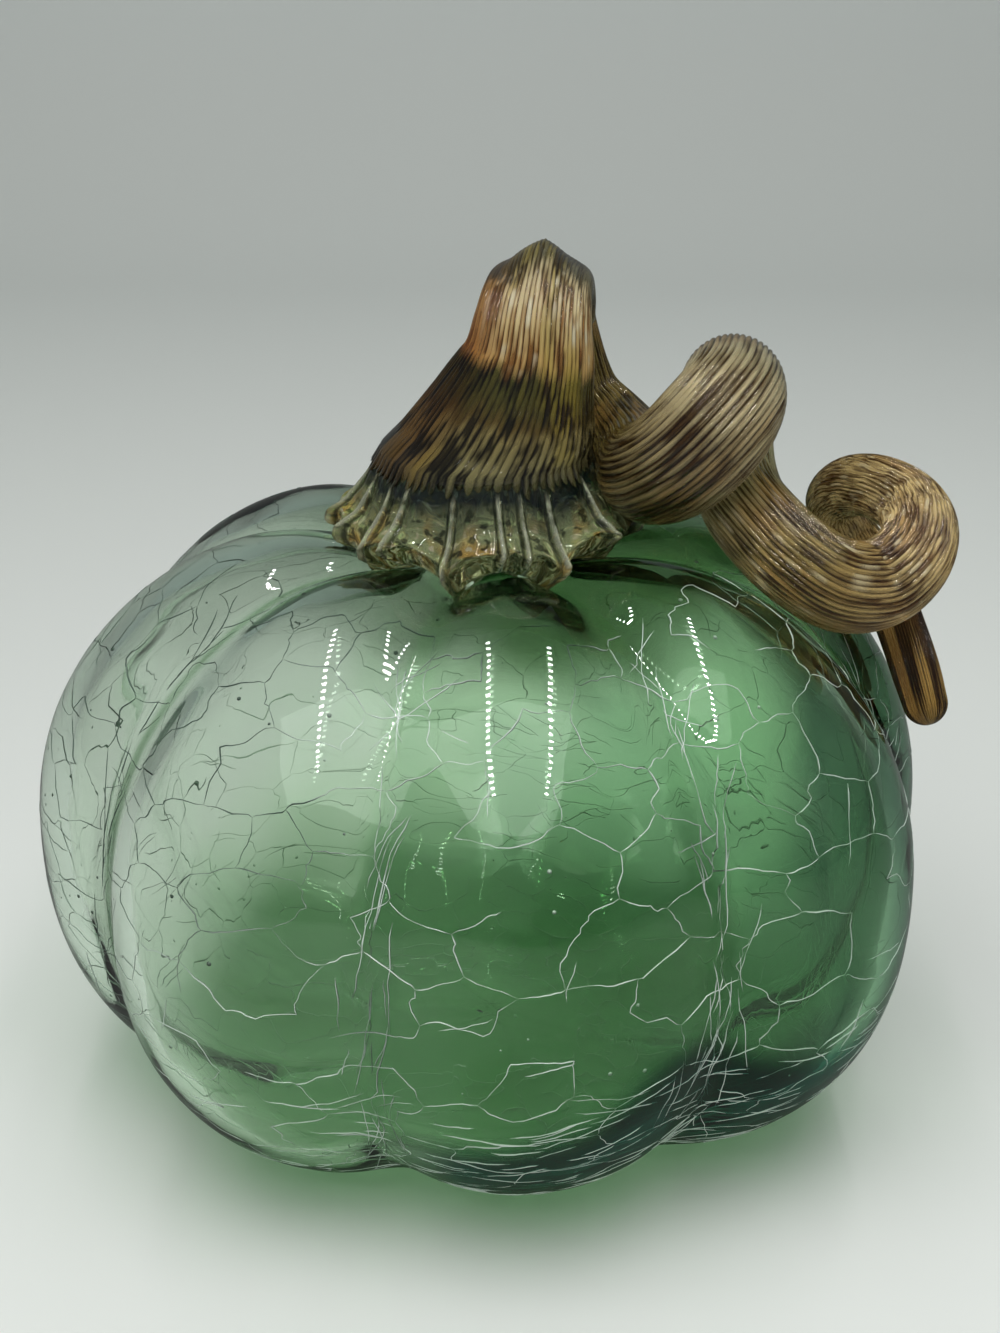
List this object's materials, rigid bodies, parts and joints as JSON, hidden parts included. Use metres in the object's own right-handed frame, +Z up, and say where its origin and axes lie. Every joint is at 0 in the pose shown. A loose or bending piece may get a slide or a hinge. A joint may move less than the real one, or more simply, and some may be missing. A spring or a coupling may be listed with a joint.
{
  "type": "blown glass pumpkin",
  "caption": "Hollow ribbed pumpkin of blown glass that stands on its base, with a fluted foot sealing its neck, a folded ribbed stem and a coiled vine tendril on its shoulder.",
  "frame": {"origin": "on the ground, under the middle of the whole part's box", "axes": "+Z up, -Y towards the front lobe that the picture faces, +X towards the coiled vine"},
  "size_m": [0.1508, 0.148, 0.1438],
  "materials": {
    "body_glass": "glossy crackled blown glass, pale grey-green above, deep green below",
    "foot_glass": "glossy fluted glass with amber streaks",
    "stem_glass": "glossy ribbed glass in bands of gold, olive, tan and dark blue",
    "vine_glass": "glossy twisted ribbed glass in brown, cream and amber stripes"
  },
  "bodies": {
    "root": {"glass_body": "body_glass", "fluted_foot": "foot_glass", "ribbed_stem": "stem_glass", "coiled_vine": "vine_glass"}
  },
  "joints": []
}
